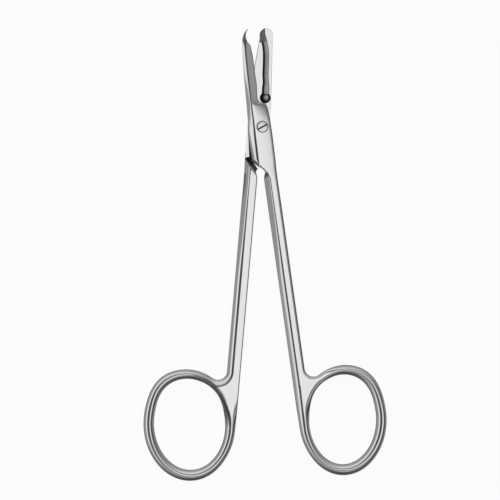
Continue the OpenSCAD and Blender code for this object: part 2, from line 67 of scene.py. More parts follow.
# Middle of each ring's hole in the forging's frame, and half the hole's width and height
HOOK_RING = ((13.75, -85.2), 9.55, 12.95)
PLAIN_RING = ((14.35, -85.65), 10.15, 13.15)
# Bulge of the shank's bevel, rounding of its far side and softness of its crease, above and below
TOP_BULGE, TOP_ROUND, TOP_SOFT = 0.05, 0.7, 0.2
LOW_BULGE, LOW_ROUND, LOW_SOFT = 0.32, 0.3, 0.17


# Outlines


def eased(y, *pairs):
    """Smooth curve through the pairs (y, value): a cubic per span whose slope at each pair is the harmonic
    mean of the slopes beside it, so it never swings past a pair."""
    at, value = np.array(sorted(pairs), float).T
    span = np.diff(at)
    slope = np.diff(value) / span
    both = slope[:-1] * slope[1:]
    total = slope[:-1] + slope[1:]
    inner = np.where(both > 0, 2 * both / np.where(total == 0, 1, total), 0)
    grade = np.concatenate([slope[:1], inner, slope[-1:]])
    y = np.clip(y, at[0], at[-1])
    i = np.clip(np.searchsorted(at, y) - 1, 0, len(span) - 1)
    t = (y - at[i]) / span[i]
    return (
        value[i] * (1 + 2 * t) * (1 - t) ** 2
        + grade[i] * span[i] * t * (1 - t) ** 2
        + value[i + 1] * t**2 * (3 - 2 * t)
        + grade[i + 1] * span[i] * t**2 * (t - 1)
    )


def mix(a, b, t):
    """From a to b as t goes from 0 to 1."""
    return a + (b - a) * t


def smooth(t):
    """Eased step, 3 t^2 - 2 t^3, with t held between 0 and 1."""
    t = np.clip(t, 0, 1)
    return t * t * (3 - 2 * t)


def outer_line(y):
    """Straight outer side of the shank."""
    return mix(3.7, 4.6, (SHANK_Y - y) / (SHANK_Y - FLARE_Y))


def inner_line(y):
    """Straight inner side of the shank, its width away from the outer side."""
    return outer_line(y) - mix(3.9, 3.88, (SHANK_Y - y) / (SHANK_Y - FLARE_Y))


def spine_x(y, hooked):
    """Spine side of blade and joint, running on into the inner side of the shank."""
    shared = [
        (-17, inner_line(-17)), (-14.9, inner_line(-14.9)), (-13.75, inner_line(-12.8) + 0.25),
        (-12.8, inner_line(-12.8) + 0.55), (-12.0, -0.34), (-11.4, -0.99), (-10.75, -1.85), (-9.7, -2.8),
        (-8.8, -3.34), (-3, -3.3), (0.2, -3.1), (3.5, -2.95),
    ]
    hook = [(10, -2.75), (15.3, -2.6), (19.5, -2.35), (22.4, -2.12), (25.3, -1.85), (26.3, -1.55),
            (27.4, -1.0), (28.0, -0.35), (HOOK_TIP, 0.15)]
    plain = [(10.7, -2.75), (19.2, -2.42), (22, -2.32), (26.5, -2.1), (27.3, -1.9), (27.8, -1.5),
             (28.1, -0.9), (PLAIN_TIP, -0.6)]
    return np.where(y < -17, inner_line(y), eased(y, *shared, *(hook if hooked else plain)))


def edge_x(y, hooked):
    """Cutting side of the blade and outer side of the joint, with the step at the blade's root."""
    shared = [(SHANK_Y, outer_line(SHANK_Y)), (-12.8, outer_line(-12.8) - 0.02), (-8.8, 3.5), (-2.6, 3.45),
              (0.6, 3.36), (2.9, 3.25), (4.4, 3.1), (5.6, 2.94), (6.2, 2.7)]
    hook = [(6.65, 2.1), (6.9, 1.4), (7.3, 0.85), (8.2, 0.5), (9.1, 0.5), (12.5, 0.72), (16, 0.6), (20, 0.6),
            (23.7, 0.3), (HOOK_TIP, 0.5)]
    plain = [(9.1, 2.55), (17.2, 2.48), (19.5, 2.2), (21.8, 1.95), (23.8, 1.68), (24.6, 1.58), (25.2, 1.56),
             (26.1, 1.6), (26.8, 1.53), (27.3, 1.33), (27.8, 0.9), (28.1, 0.5), (PLAIN_TIP, 0.35)]
    return np.where(y < SHANK_Y, outer_line(y), eased(y, *shared, *(hook if hooked else plain)))


def shank_crease(y):
    """Crease of the shank, a share of its width from the inner side."""
    return mix(inner_line(y), outer_line(y), BEVEL_SHARE)


def crease_x(y, hooked):
    """Crease between the outer face and the bevel along the spine."""
    def near(at, off):
        """Point of the crease a distance off the spine side."""
        return (at, float(spine_x(np.array([at]), hooked)[0]) + off)

    above = eased(
        y, (CREASE_Y, shank_crease(CREASE_Y)), (-17, shank_crease(-17)), (-15, 1.24), (-13.8, 0.9),
        (-13.2, 0.5), (-12.8, 0.33), (-12, -0.12), (-11.4, -0.76), (-10.75, -1.5), (4, -1.5), (10, -1.5),
        near(20, 0.95), near(23.7, 0.9), near(28.35, 0.15),
    )
    return np.where(y < CREASE_Y, shank_crease(y), above)


def inner_crease_x(y):
    """Crease on the side towards the other half, which begins at the shoulder."""
    low = inner_line(y) + outer_line(y) - shank_crease(y)
    start = inner_line(CREASE_Y) + outer_line(CREASE_Y) - shank_crease(CREASE_Y)
    return np.where(y < CREASE_Y, low, eased(y, (CREASE_Y, start), (-17, 1.97), (-12.8, 1.86), (0, 1.83)))


def spine_z(y):
    """Height where the bevel along the spine side begins."""
    return eased(y, (FLARE_Y, BEVEL_LOW_Z), (-44, BEVEL_LOW_Z), (SHANK_Y, -0.25), (-13.8, -0.55),
                 (-13.2, 0.3), (-12.6, 1.4), (-11, 1.4), (-9.6, 0.75), (-8.8, 0.6), (9.1, 0.6), (28.35, 0.3))


def face_z(y, hooked):
    """Height of the outer face at the crease."""
    tip = [(23, 0.98), (28.35, 0.55)] if hooked else [(28.35, 0.95)]
    return eased(y, (-22, SHANK_H), (-8.8, HALF_T), (6.2, HALF_T), (9.1, HALF_T - 0.1), *tip)


def edge_z(y, hooked):
    """Height of the outer face at the cutting side."""
    if hooked:
        return eased(y, (-22, SHANK_H), (-8.8, HALF_T), (0.4, HALF_T), (4.4, 1.75), (6.2, 1.65), (7.3, 1.5),
                     (9.1, 1.35), (12.5, 1.0), (16, 0.75), (22, 0.5), (25, 0.56), (28.35, 0.42))
    return eased(y, (-22, SHANK_H), (-8.8, HALF_T), (4.4, HALF_T), (6.2, HALF_T - 0.1), (9.1, 1.1), (15, 0.9),
                 (28.35, 0.8))


def edge_round(y):
    """Radius of the rounding between outer face and cutting side."""
    return eased(y, (-22, TOP_ROUND), (-8.8, 0.5), (4.4, 0.4), (9.1, 0.08), (28.35, 0.05))


# Sections

# Points across a section, those on the edge's rounding, and the first one of the ring's hole side
COLUMNS, ROUND_COLUMNS, HOLE_COLUMN = 40, 10, 28
FOOT_SLOPE, DRAFT = 1.8, 0.5


def section(width, crease, low, high, side, r, crown, soft, bulge, foot):
    """Face of a section from the spine side to the other side, one row per station. The height is the soft
    minimum of a convex bevel, rising from the spine, and of a crowned face, less a quarter round at each end.
    The soft minimum is -k log(exp(-a/k) + exp(-b/k)). A foot makes the bevel's lower end steeper. Returns
    distances across and heights."""
    width, crease, low, high, side, r, crown, soft, bulge, foot = (
        np.asarray(v, float).reshape(-1, 1)
        for v in np.broadcast_arrays(width, crease, low, high, side, r, crown, soft, bulge, foot)
    )
    ease = np.minimum(0.1, crease * 0.2)
    reach = np.minimum(np.minimum(2.6 * soft, crease - ease), (width - r - crease) * 0.8)
    step = [
        ease * np.array([0, 0.12, 0.35, 0.65]),
        mix(ease, crease - reach, np.linspace(0, 1, 5)[:-1]),
        mix(crease - reach, crease + reach, np.linspace(0, 1, 13)[:-1]),
        mix(crease + reach, width - r, np.linspace(0, 1, 11)[:-1]),
        width - r + r * np.sin(np.linspace(0, math.pi / 2, ROUND_COLUMNS)),
    ]
    x = np.concatenate([s + 0 * width for s in step], axis=1)
    rise = x / crease
    bevel = low + (high - low) * (rise + bulge * rise * (1 - rise) * (rise < 1))
    along = (x - crease) / (width - crease)
    face = mix(high, side, np.clip(along, 0, 1)) - crown * np.clip(along, 0, 2) ** 2
    z = -soft * np.logaddexp(-bevel / soft, -face / soft)
    z = np.minimum(z, low - foot + FOOT_SLOPE * x)
    past_round = np.clip((x - (width - r)) / r, 0, 1)
    z -= r * (1 - np.sqrt(1 - past_round**2))
    before = np.clip(1 - x / ease, 0, 1)
    z -= ease * (1 - np.sqrt(1 - before**2))
    return x, z


def along_station(a, b, across, z):
    """Points at the distances across from a towards b, at the heights z."""
    length = np.linalg.norm(b - a, axis=1)[:, None]
    share = (across / length)[..., None]
    flat = a[:, None] + (b - a)[:, None] * share
    return np.concatenate([flat, z[..., None]], axis=2)


# Finger ring


def turned(x, y, angle):
    """The point or points turned about the origin by the angle in degrees."""
    c, s = math.cos(math.radians(angle)), math.sin(math.radians(angle))
    return x * c - y * s, x * s + y * c


def ellipse_reach(off_y, half_w, half_h, lean, angle):
    """Distance, in each direction, from the hole's middle to a leaning ellipse whose middle lies off_y above:
    the ray's place is put into the ellipse's equation, and the quadratic is solved for the distance."""
    a = np.radians(angle)
    dx, dy = turned(np.cos(a), np.sin(a), lean)
    ox, oy = turned(0.0, -off_y, lean)
    p = (dx / half_w) ** 2 + (dy / half_h) ** 2
    q = ox * dx / half_w**2 + oy * dy / half_h**2
    r = (ox / half_w) ** 2 + (oy / half_h) ** 2 - 1
    return (np.sqrt(q * q - p * r) - q) / p


def cosd(angle):
    """Cosine of an angle in degrees."""
    return np.cos(np.radians(angle))


def sind(angle):
    """Sine of an angle in degrees."""
    return np.sin(np.radians(angle))


def hole_reach(ring, angle):
    """The hole's edge: a leaning ellipse, squared a little in its upper half by a wave of four."""
    oval = ellipse_reach(0, ring[1], ring[2], HOLE_LEAN, angle)
    return oval - HOLE_SQUARE * np.maximum(0, sind(angle)) * cosd(4 * (angle - 90))


def rim_reach(ring, angle):
    """The ring's outer side: a leaning ellipse with a swell in one direction and a slim part in another."""
    return (
        ellipse_reach(-RIM_DOWN, ring[1] + WIRE_W, ring[2] + WIRE_END_W, RIM_LEAN, angle)
        + RIM_SWELL * np.maximum(0, cosd(angle - SWELL_AT)) ** 10
        - RIM_SLIM * np.maximum(0, cosd(angle - SLIM_AT)) ** 4
    )


def fillet(ring):
    """Middle of the fillet between shank and ring, one radius from both, and the point where it meets the
    ring: the best of many points on the rim, each moved out by the radius."""
    t = np.linspace(95, 170, 20001)
    half_w, half_h = ring[1] + WIRE_W, ring[2] + WIRE_END_W
    x, y = turned(half_w * cosd(t), half_h * sind(t), -RIM_LEAN)
    nx, ny = turned(half_h * cosd(t), half_w * sind(t), -RIM_LEAN)
    n = np.hypot(nx, ny)
    x, y = x + ring[0][0], y + ring[0][1] - RIM_DOWN
    cx, cy = x + FILLET_R * nx / n, y + FILLET_R * ny / n
    i = int(np.argmin(np.abs(cx - FILLET_R - outer_line(cy))))
    return np.array([cx[i], cy[i]]), np.array([x[i], y[i]])


def ring_rows(ring, out, z, angle, share, roll):
    """Upper side of the ring, one row per direction: from the outer point the height rises as
    (1 - (1 - q)^2.1)^0.85 to a crest, then falls to the hole much as a quarter of an oval. The crest lies off
    the wire's middle, always towards the same side of the scissors."""
    reach = hole_reach(ring, angle)
    hole = np.array(ring[0]) + reach[:, None] * np.stack([cosd(angle), sind(angle)], 1)
    width = np.linalg.norm(out - hole, axis=1)
    s = smooth(share)
    top = mix(RING_H, SHANK_H, s)
    lean = roll * CREST_SHIFT * cosd(angle)
    outer_part = mix(width / 2 - lean, 1.35, s)
    hole_part = mix(width / 2 + lean, 1.3, s)
    fit = np.minimum(1, width / (outer_part + hole_part + 0.02))
    outer_part, hole_part = outer_part * fit, hole_part * fit
    q = np.linspace(0, 1, 18) ** 1.4
    outer_at = outer_part[:, None] * q
    outer_z = mix(z[:, None], top[:, None], (1 - (1 - q) ** 2.1) ** 0.85)
    flat_at = mix(outer_part[:, None], (width - hole_part)[:, None], np.linspace(0, 1, 12)[1:-1])
    flat_z = top[:, None] + 0 * flat_at
    p = q[::-1]
    hole_at = width[:, None] - hole_part[:, None] * p
    curve = 1 - (1 - p) ** 2
    hole_z = top[:, None] * mix(0.2 + 0.8 * curve**0.8, 0.66 + 0.34 * curve**0.6, s[:, None])
    at = np.concatenate([outer_at, flat_at, hole_at], 1)
    height = np.concatenate([outer_z, flat_z, hole_z], 1)
    return along_station(out, hole, at, height)


# One half as a single skin


def quads(grid_a, grid_b=None):
    """Faces between neighbours of a grid of point numbers, or between two rows of numbers."""
    if grid_b is not None:
        return np.stack([grid_a[:-1], grid_a[1:], grid_b[1:], grid_b[:-1]], 1)
    g = grid_a
    return np.stack([g[:-1, :-1], g[:-1, 1:], g[1:, 1:], g[1:, :-1]], -1).reshape(-1, 4)


def forging(ring, hooked):
    """Closed skin of one half. Stations along blade, joint and shank carry the section, and the last one's
    points are the first outer points of the ring, whose rows run from its outer side to the hole."""
    tip = HOOK_TIP if hooked else PLAIN_TIP
    stretches = ((tip, 22, 46), (22, 9.2, 40), (9.2, 3.4, 46), (3.4, -8, 20), (-8, -15, 190),
                 (-15, FLARE_Y, 50))
    y = np.concatenate([[tip]] + [np.linspace(*stretch)[1:] for stretch in stretches])
    a = np.stack([spine_x(y, hooked), y], 1)
    b = np.stack([edge_x(y, hooked), y], 1)
    fold = crease_x(y, hooked) - a[:, 0]
    fold_in = b[:, 0] - inner_crease_x(y)

    # Stations of the web: their outer ends follow the straight side, then the fillet's arc
    middle, touch = fillet(ring)
    t = np.linspace(0, 1, 31)[1:]
    straight = 0.3
    web_y = mix(FLARE_Y, middle[1] - WEB_DROP * FILLET_R, t)
    web_a = np.stack([inner_line(web_y), web_y], 1)
    end = math.degrees(math.atan2(touch[1] - middle[1], touch[0] - middle[0])) + 360
    turn = mix(180, end, np.clip((t - straight) / (1 - straight), 0, 1))
    low_y = mix(FLARE_Y, middle[1], np.clip(t / straight, 0, 1))
    web_b = np.where((t < straight)[:, None], np.stack([outer_line(low_y), low_y], 1),
                     middle + FILLET_R * np.stack([cosd(turn), sind(turn)], 1))
    web_w = np.full(len(t), (outer_line(FLARE_Y) - inner_line(FLARE_Y)) * BEVEL_SHARE)
    a, b = np.concatenate([a, web_a]), np.concatenate([b, web_b])
    fold, fold_in = np.concatenate([fold, web_w]), np.concatenate([fold_in, web_w])
    y = np.concatenate([y, np.full(len(t), FLARE_Y - 1)])
    width = np.linalg.norm(b - a, axis=1)
    count = len(y)

    # Sections of the upper side, and of the lower side, whose bevel faces the other half
    soft = eased(y, (-70, TOP_SOFT), (-14, TOP_SOFT), (-10, 0.15), (6, 0.15), (20, 0.13), (24, 0.1),
                 (28, 0.03))
    crown = eased(y, (-70, 0.05), (-20, 0.05), (-8, 0.16), (5, 0.16), (9, 0.03), (28, 0.0))
    foot = eased(y, (-11.8, 0), (-9.4, 0.85), (-6, 0.6), (-0.5, 0))
    across, z = section(width, fold, spine_z(y), face_z(y, hooked), edge_z(y, hooked), edge_round(y), crown,
                        soft, TOP_BULGE, foot)
    upper = along_station(a, b, across, z)
    low_in = np.where(y < SHANK_Y, spine_z(y), np.minimum(spine_z(y), spine_z(np.array([SHANK_Y]))))
    across, z = section(width, fold_in, low_in, SHANK_H, SHANK_H, LOW_ROUND, 0.03, LOW_SOFT, LOW_BULGE, 0)
    lower = along_station(b, a, across, -z)[:, ::-1]

    # Lower side of the blade: the outline straight down, drawn in a little by the draft
    blade = y > 3.4
    share = smooth((y + 8) / 4)[:, None, None]
    lower = mix(lower, upper * [1, 1, 0] + [0, 0, -SHANK_H], share)
    draft = np.minimum(DRAFT, 0.3 * width) * smooth((y - 3.4) / 3)
    inset = draft[:, None] * (1 - 2 * (upper[..., 0] - a[:, :1]) / width[:, None])
    lower[blade, :, 0] += inset[blade]
    lower[blade, :, 1] -= DRAFT * smooth((y[blade, None] - 26.5) / 1.8)

    bevel_w, low = float(web_w[0]), float(spine_z(np.array([FLARE_Y]))[0])

    def shank_height(left, right, bevel_left):
        """Height of the shank's section at the distances from its two outlines: the soft minimum of a bevel
        and the flat face, less a quarter round at each outline."""
        d, e = (left, right) if bevel_left else (right, left)
        bulge, r, k = (TOP_BULGE, TOP_ROUND, TOP_SOFT) if bevel_left else (LOW_BULGE, LOW_ROUND, LOW_SOFT)
        rise = np.clip(d, 0, None) / bevel_w
        bevel = low + (SHANK_H - low) * (rise + bulge * rise * (1 - rise) * (rise < 1))
        height = -k * np.logaddexp(-bevel / k, -SHANK_H / k)
        height = height - r * (1 - np.sqrt(1 - np.clip(1 - e / r, 0, 1) ** 2))
        return height - 0.1 * (1 - np.sqrt(1 - np.clip(1 - d / 0.1, 0, 1) ** 2))

    def outline_gaps(points):
        """Distances of points on the web from the shank's inner side and from its outer side or fillet."""
        left = points[..., 0] - inner_line(points[..., 1])
        arc = np.hypot(points[..., 0] - middle[0], points[..., 1] - middle[1]) - FILLET_R
        right = np.where(points[..., 1] > middle[1], outer_line(points[..., 1]) - points[..., 0], arc)
        return left, right

    web = slice(len(y) - len(t), None)
    upper[web, :, 2] = shank_height(*outline_gaps(upper[web]), True)
    lower[web, :, 2] = -shank_height(*outline_gaps(lower[web]), False)

    # Outer points of the ring, first those shared with the shank, then clockwise round the ring
    shared = upper[-1, :, :2]
    shared_low = lower[-1, :, :2]
    centre = np.array(ring[0])
    shared_angle = np.degrees(np.arctan2(*(shared - centre).T[::-1]))
    left, right = shared_angle[0], shared_angle[-1]
    around = mix(right, left - 360, np.arange(1, 168) / 168)
    slope = inner_line(1) - inner_line(0)
    # The rim stays a hair inside the solids' box, most at its lower end
    rim = rim_reach(ring, around) - 0.012 - 0.04 * smooth(-(around + 20) / 40) * (around > -140)
    line = (inner_line(centre[1]) - centre[0]) / (cosd(around) - slope * sind(around))
    blend = smooth((around - EASE_START) / (EASE_END - EASE_START))
    reach = mix(np.where(around < EASE_END, line, rim), rim, blend)
    rim_out = centre + reach[:, None] * np.stack([cosd(around), sind(around)], 1)
    angle = np.concatenate([shared_angle, around])
    # Share of the shank's form in each row: 1 on the shared points, fading to both sides of them
    wrapped = np.where(angle < -180, angle + 360, angle)
    share = np.where(wrapped > left, np.maximum(0, 1 - (wrapped - left) / 35),
                     np.where(wrapped < right, np.maximum(0, 1 - (right - wrapped) / 25), 1))
    share[:COLUMNS] = 1
    near_left = around < -90
    rim_z = RING_H * 0.26

    def rows(edge, first, roll):
        """The ring's own rows, whose outer height eases from the shank's to the rim's."""
        z_around = np.where(near_left, mix(rim_z, edge[0], smooth(share[COLUMNS:])),
                            mix(rim_z, edge[-1], smooth(share[COLUMNS:])))
        heights = np.concatenate([edge, z_around])
        return ring_rows(ring, np.concatenate([first, rim_out]), heights, angle, share, roll)

    def carry_on(grid, edge, bevel_left):
        """Carries the shank's section on over the web and down the ring's sides, faded into the ring."""
        left_gap, right_gap = outline_gaps(grid)
        along = np.linalg.norm(grid[..., :2] - grid[:, :1, :2], axis=2)
        right_side = (~np.concatenate([np.ones(COLUMNS, bool), near_left]))[:, None]
        right_gap = np.where(right_side, along, right_gap)
        far_left = np.concatenate([np.zeros(COLUMNS), np.where(near_left, around - left + 360, 0)])[:, None]
        left_gap = np.where(far_left > 0, mix(left_gap, along, smooth((far_left - 15) / 40)), left_gap)
        keep = np.where(right_side, smooth(share)[:, None], smooth(1 - far_left / 62))
        hole_fall = np.zeros_like(along)
        hole_fall[:, HOLE_COLUMN:] = np.maximum(0, mix(RING_H, SHANK_H, smooth(share))[:, None]
                                                - grid[:, HOLE_COLUMN:, 2])
        wanted = shank_height(left_gap, right_gap, bevel_left) - hole_fall
        grid[..., 2] = mix(grid[..., 2], wanted, keep)
        grid[:COLUMNS, 0, 2] = edge
        return grid

    ring_up = carry_on(rows(upper[-1, :, 2], shared, 1), upper[-1, :, 2], True)
    ring_low = carry_on(rows(-lower[-1, :, 2], shared_low, -1), -lower[-1, :, 2], False) * [1, 1, -1]

    # Point numbers and faces
    body = (count - 1) * COLUMNS
    ring_n, wide = ring_up.shape[:2]
    points = np.concatenate([upper[:-1].reshape(-1, 3), lower[:-1].reshape(-1, 3), ring_up.reshape(-1, 3),
                             ring_low.reshape(-1, 3)])
    top_ring = 2 * body + np.arange(ring_n * wide).reshape(ring_n, wide)
    low_ring = top_ring + ring_n * wide
    top_body = np.concatenate([np.arange(body).reshape(-1, COLUMNS), top_ring[None, :COLUMNS, 0]])
    low_body = np.concatenate([body + np.arange(body).reshape(-1, COLUMNS), low_ring[None, :COLUMNS, 0]])
    top_loop = np.concatenate([top_ring, top_ring[:1]])
    low_loop = np.concatenate([low_ring, low_ring[:1]])
    faces = np.concatenate([
        quads(top_body), quads(low_body)[:, ::-1],
        quads(top_body[:, 0], low_body[:, 0]), quads(top_body[:, -1], low_body[:, -1])[:, ::-1],
        quads(top_body[0], low_body[0])[:, ::-1],
        quads(top_loop), quads(low_loop)[:, ::-1],
        quads(top_loop[:, -1], low_loop[:, -1])[:, ::-1],
        quads(top_loop[COLUMNS - 1:, 0], low_loop[COLUMNS - 1:, 0]),
    ])
    return points, faces


# Meshes and cutting tools


def piece(name, points, faces):
    """Mesh object at the origin from points in millimetres."""
    mesh = bpy.data.meshes.new(name)
    mesh.from_pydata((np.asarray(points) * MM).tolist(), [], [list(f) for f in faces])
    mesh.update()
    bm = bmesh.new()
    bm.from_mesh(mesh)
    bmesh.ops.remove_doubles(bm, verts=bm.verts, dist=1e-8)
    bmesh.ops.recalc_face_normals(bm, faces=bm.faces)
    bm.to_mesh(mesh)
    bm.free()
    obj = bpy.data.objects.new(name, mesh)
    bpy.context.scene.collection.objects.link(obj)
    return obj


def cut(target, *tools):
    """Takes the tools' solids out of the target, one after another, and deletes them."""
    for tool in tools:
        mod = target.modifiers.new("cut", "BOOLEAN")
        mod.object, mod.operation, mod.solver = tool, "DIFFERENCE", "EXACT"
        graph = bpy.context.evaluated_depsgraph_get()
        graph.update()
        done = bpy.data.meshes.new_from_object(target.evaluated_get(graph))
        target.modifiers.clear()
        old = target.data
        target.data = done
        bpy.data.meshes.remove(old)
        bpy.data.objects.remove(tool)
    target.data.name = target.name


def lathe(name, profile, turns=96):
    """Solid of revolution about the z axis: the profile's points (radius, height) carried round a circle."""
    profile = np.array(profile, float)
    a = np.linspace(0, 2 * math.pi, turns, endpoint=False)
    ring = np.stack([np.outer(np.cos(a), profile[:, 0]), np.outer(np.sin(a), profile[:, 0]),
                     np.outer(np.ones(turns), profile[:, 1])], 2)
    grid = np.arange(turns * len(profile)).reshape(turns, -1)
    loop = np.concatenate([grid, grid[:1]])
    faces = quads(loop).tolist() + [grid[:, 0].tolist(), grid[::-1, -1].tolist()]
    return piece(name, ring.reshape(-1, 3), faces)


def prism_faces(n):
    """Sides and both ends of a prism whose two ends have n corners each."""
    i = np.arange(n)
    j = (i + 1) % n
    return np.stack([i, j, j + n, i + n], 1).tolist() + [i.tolist(), (i + n).tolist()]


def prism(name, outline, low, high):
    """Solid with the outline's corners between two heights."""
    outline = np.array(outline, float)
    n = len(outline)
    points = np.concatenate([np.c_[outline, np.full(n, low)], np.c_[outline, np.full(n, high)]])
    return piece(name, points, prism_faces(n))


def at_shoulder(along, off):
    """Point in the forging's frame from the distance along the shoulder and the distance off it."""
    x, y = turned(along, off - SHOULDER_REACH, SHOULDER_ANGLE)
    return x - SCREW_SHIFT, y


def lap_tool():
    """Room for the other half: a wedge below the meeting plane that ends at the leaning shoulder."""
    deep, far, side = 6.0, 60.0, 45.0
    under = -deep * math.tan(math.radians(SHOULDER_LEAN))
    wall = np.array([(0, 0), (under, -deep), (far, -deep), (far, 0)], float)
    points = []
    for u in (-side, side):
        x, y = at_shoulder(np.full(len(wall), u), wall[:, 0])
        points.append(np.stack([x, y, wall[:, 1] + LAP_TOP], 1))
    return piece("lap_tool", np.concatenate(points), prism_faces(len(wall)))


def relief_tool():
    """Shallow relief ground in the meeting face beside the shoulder, with a tapering outline given by
    distances along and off the shoulder."""
    outline = np.array([(-3.5, 0), (-3.9, 1.2), (-6.2, 1.3), (-8.2, 0.95), (-12.0, 0.8), (-12.0, 0)])
    x, y = at_shoulder(*outline.T)
    return prism("relief_tool", np.stack([x, y], 1), -1.0, LAP_TOP + RELIEF_DEPTH)


def wedge_tool():
    """Narrow relief, as deep, that runs up from the shoulder along the joint."""
    outline = [(3.3, 0.6), (2.9, -3.2), (2.25, -9.3), (0.9, -9.9), (1.7, -6.0), (2.5, -2.5)]
    return prism("wedge_tool", outline, -1.0, LAP_TOP + RELIEF_DEPTH)


def notch_tool():
    """Cone that grinds the hook's round notch, wider on the outer face."""
    tool = lathe("notch_tool", [(NOTCH_R - 2 * NOTCH_SLOPE, -2), (NOTCH_R + 3 * NOTCH_SLOPE, 3)], 160)
    tool.data.transform(Matrix.Translation((NOTCH_X * MM, NOTCH_Y * MM, 0)))
    return tool


def hollow_sides(y):
    """Left and right walls of the hollow at each y: the trough's and the round pocket's, whichever reaches
    further, as a soft maximum k log(exp(a/k) + exp(b/k)) where they meet."""
    mid = eased(y, (7, POCKET_X), (POCKET_Y, POCKET_X), (12, -1.1), (15, -0.8), (18.5, -0.68), (21, -0.55),
                (22.5, -0.32), (23.8, 0), (25, 0.35), (26, 0.7), (27, 0.95), (29, 1.1))
    half = eased(y, (7, 1.05), (11, 1.05), (13, 0.875), (29, 0.875))
    pocket = np.sqrt(np.maximum(POCKET_R**2 - (y - POCKET_Y) ** 2, 0))
    in_trough = smooth((y - 8.6) / 0.5)
    soft = 0.09
    left = -soft * np.logaddexp((pocket - POCKET_X) / soft, (half * in_trough - mid) / soft)
    right = soft * np.logaddexp((pocket + POCKET_X) / soft, (half * in_trough + mid) / soft)
    below, above = y < POCKET_Y + 0.4, y > POCKET_Y + 1.5
    return (np.where(below, POCKET_X - pocket, np.where(above, mid - half, left)),
            np.where(below, POCKET_X + pocket, np.where(above, mid + half, right)))


def hollow_tool():
    """Trough ground in the plain blade. At each y it spans from a left to a right wall. Across it, with v
    from 0 at the left to 1 near the right, the depth is 0.45 + 0.3 v + 0.25 v^2 of the whole, times a short
    rise at the left wall and a long one, 1 - (1 - d)^1.35, at the right. A round pocket ends it near the
    joint, and it opens through the cutting side near the tip."""
    y = np.concatenate([
        np.linspace(POCKET_Y - POCKET_R + 0.004, POCKET_Y - 1, 16),
        np.linspace(POCKET_Y - 1, 12, 44)[1:],
        np.linspace(12, 29, 120)[1:],
    ])
    left, right = hollow_sides(y)
    u = np.concatenate([
        np.linspace(0, 0.2, 12), np.linspace(0.2, 0.55, 12)[1:], np.linspace(0.55, 1, 26)[1:],
    ])
    open_by = 6 * smooth((y - 24.05) / 0.5)
    x = mix(left[:, None], right[:, None], u)
    v = (x - left[:, None]) / (right - left)[:, None]
    at_left = np.clip((x - left[:, None]) / 0.1, 0, 1)
    at_right = np.clip((right[:, None] - x) / 0.72, 0, 1)
    at_end = np.clip((y - y[0]) / 0.7, 0, 1)[:, None]
    floor = 0.45 + 0.3 * v + 0.25 * v**2
    depth = floor * (1 - (1 - at_left) ** 2) * (1 - (1 - at_right) ** 1.35) * (1 - (1 - at_end) ** 2)
    opened = smooth(open_by)[:, None]
    depth = mix(depth, floor * (1 - (1 - at_left) ** 2), opened)
    x = x + open_by[:, None] * np.clip((u - 0.9) / 0.1, 0, 1)
    z = LAP_TOP + HOLLOW_DEPTH * depth
    top = np.stack([x, y[:, None] + 0 * x, z], 2)
    base = top * [1, 1, 0] + [0, 0, -3.0]
    n, m = x.shape
    up = np.arange(n * m).reshape(n, m)
    low = up + n * m
    faces = np.concatenate([
        quads(up), quads(low)[:, ::-1], quads(up[:, 0], low[:, 0]), quads(up[:, -1], low[:, -1])[:, ::-1],
        quads(up[0], low[0])[:, ::-1], quads(up[-1], low[-1]),
    ])
    return piece("hollow_tool", np.concatenate([top.reshape(-1, 3), base.reshape(-1, 3)]), faces)


def placed(obj, move):
    """Moves the mesh inside its object, which stays at the origin."""
    obj.data.transform(move)
    obj.data.update()


def finished(obj, sharp=30.0):
    """Merges what the cuts left double, closes small holes, points the faces outwards, and shades smooth up
    to the sharp angle."""
    bm = bmesh.new()
    bm.from_mesh(obj.data)
    bmesh.ops.remove_doubles(bm, verts=bm.verts, dist=2e-7)
    bmesh.ops.dissolve_degenerate(bm, edges=bm.edges, dist=1e-7)
    bmesh.ops.triangulate(bm, faces=[f for f in bm.faces if len(f.verts) > 4])
    bmesh.ops.holes_fill(bm, edges=[e for e in bm.edges if len(e.link_faces) == 1], sides=6)
    bmesh.ops.recalc_face_normals(bm, faces=bm.faces)
    bm.to_mesh(obj.data)
    bm.free()
    obj.data.shade_smooth()
    obj.data.set_sharp_from_angle(angle=math.radians(sharp))


def read(items, key, width, kind=np.float64):
    """One value, or a row of them, per item of a mesh's collection."""
    values = np.zeros(len(items) * width, kind)
    items.foreach_get(key, values)
    return values.reshape(-1, width) if width > 1 else values


def mark(obj, to_world, rule):
    """Face-corner attribute of painted shade, 0 to 1, which takes the steel's colour towards near black. The
    rule is given each corner's place and its face's middle, both in millimetres in the piece's own frame."""
    mesh = obj.data
    back = np.array(to_world.inverted())
    corner = read(mesh.loops, "vertex_index", 1, np.int32)
    corners = read(mesh.polygons, "loop_total", 1, np.int32)
    spots = read(mesh.vertices, "co", 3)[corner], np.repeat(read(mesh.polygons, "center", 3), corners, axis=0)
    place, middle = ((p @ back[:3, :3].T + back[:3, 3]) / MM for p in spots)
    layer = mesh.attributes.new("painted_shade", "FLOAT", "CORNER")
    layer.data.foreach_set("value", np.clip(rule(place, middle), 0, 1).astype(np.float32))


def bell(x):
    """exp(-x^2): 1 at 0, fading on both sides."""
    return np.exp(-x * x)


